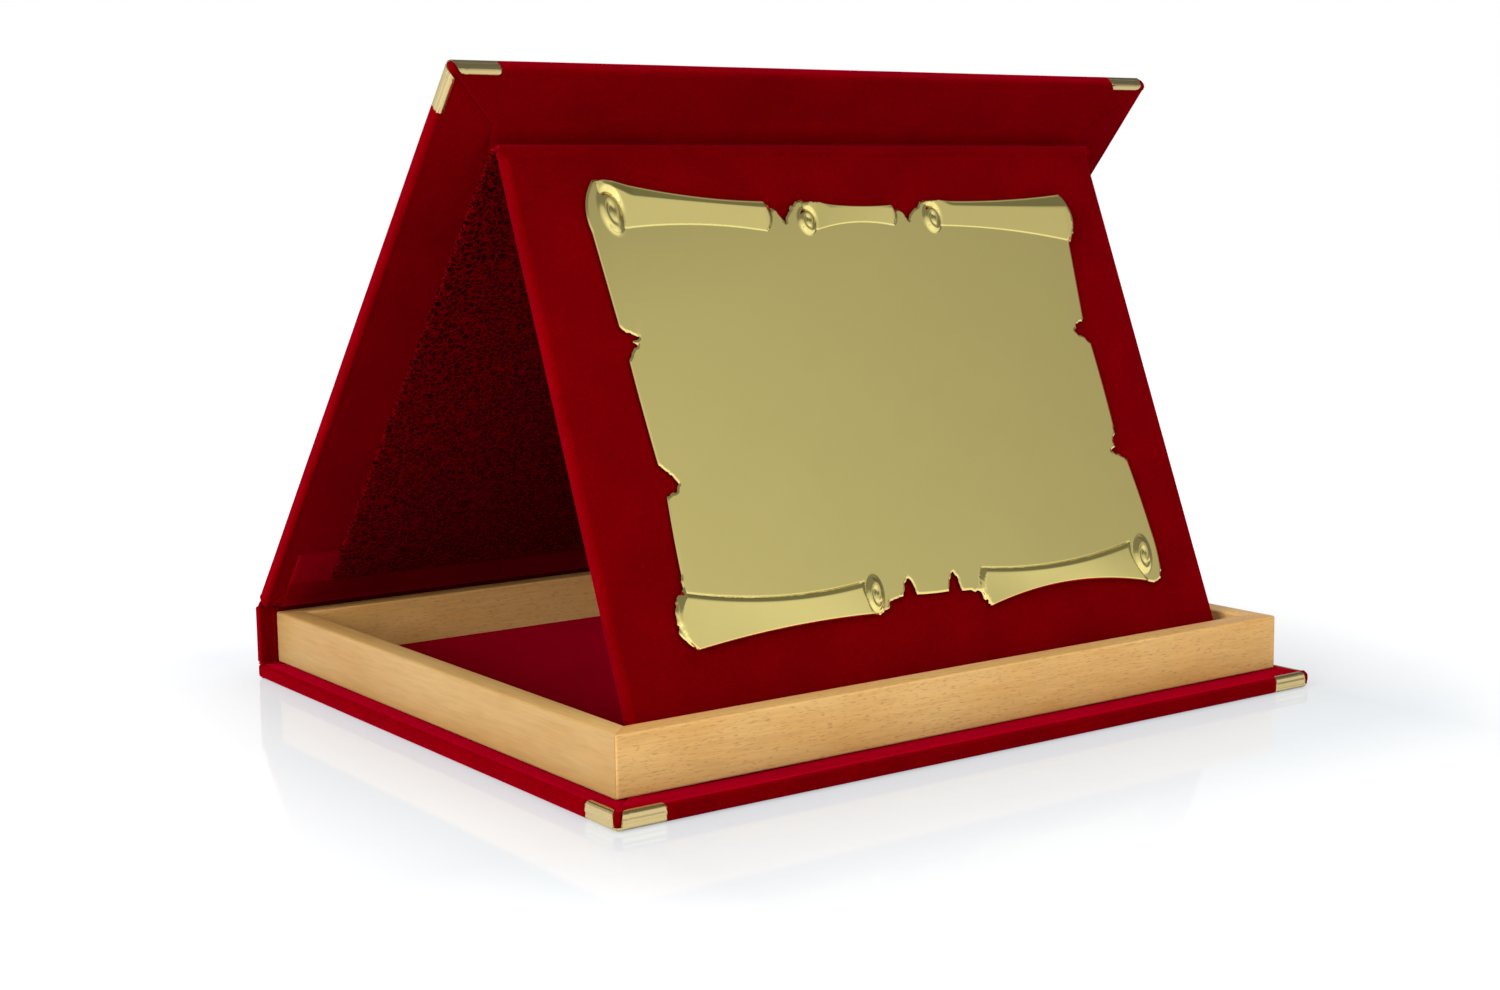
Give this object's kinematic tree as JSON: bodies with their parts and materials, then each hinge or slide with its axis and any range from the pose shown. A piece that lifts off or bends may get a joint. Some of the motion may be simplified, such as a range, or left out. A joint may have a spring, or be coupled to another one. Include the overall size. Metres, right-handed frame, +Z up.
{
  "type": "plaque presentation box",
  "caption": "Velvet covered presentation box with a beech tray, a cloth-hinged lid and a hinged easel panel carrying a stamped metal scroll plate.",
  "frame": {"origin": "centre of the base board's underside, which is the centre of the bottom of the bounding box", "axes": "+X to the right seen from the front, +Y from the plate towards the spine, +Z up"},
  "size_m": [0.3318, 0.2888, 0.2487],
  "materials": {
    "red_velvet": "short pile velvet, matt with a soft sheen",
    "figured_lining": "dark red lining cloth with a small cracked cell figure",
    "greyboard": "plain greyboard, hidden inside the wraps",
    "beech": "sanded beech under a thin satin lacquer",
    "gold_plate": "polished pale gold, stamped",
    "corner_brass": "thin polished brass",
    "foam_tape": "white double-sided foam tape"
  },
  "bodies": {
    "base": {"base_cover": "red_velvet", "base_board": "greyboard", "base_corner_left": "corner_brass", "base_corner_right": "corner_brass", "front_rail": "beech", "rear_rail": "beech", "left_rail": "beech", "right_rail": "beech", "tray_floor_card": "greyboard", "tray_floor_velvet": "red_velvet", "spine_board": "greyboard", "spine_cover": "red_velvet"},
    "lid": {"lid_cover": "red_velvet", "lid_board": "greyboard", "lid_lining_card": "greyboard", "lid_lining": "figured_lining", "inner_hinge_strip": "red_velvet", "lid_corner_left": "corner_brass", "lid_corner_right": "corner_brass", "lid_hinge_cloth": "red_velvet"},
    "panel": {"panel_cover": "red_velvet", "panel_board": "greyboard", "panel_back_lining": "red_velvet", "panel_hinge_cloth": "red_velvet", "scroll_plate": "gold_plate", "mounting_tape_left": "foam_tape", "mounting_tape_middle": "foam_tape", "mounting_tape_right": "foam_tape"}
  },
  "joints": [
    {"name": "lid_hinge", "type": "hinge", "parent": "base", "child": "lid", "pos_m": [0, 0.14305, 0.0312], "axis": [-1, 0, 0], "range_deg": [0, 130.9]},
    {"name": "panel_hinge", "type": "hinge", "parent": "lid", "child": "panel", "pos_m": [0, -0.03183, 0.21973], "axis": [1, 0, 0], "range_deg": [0, 62.95]}
  ],
  "couplings": [
    {"joint": "panel_hinge", "follows": "lid_hinge", "ratio": 0.4805}
  ]
}
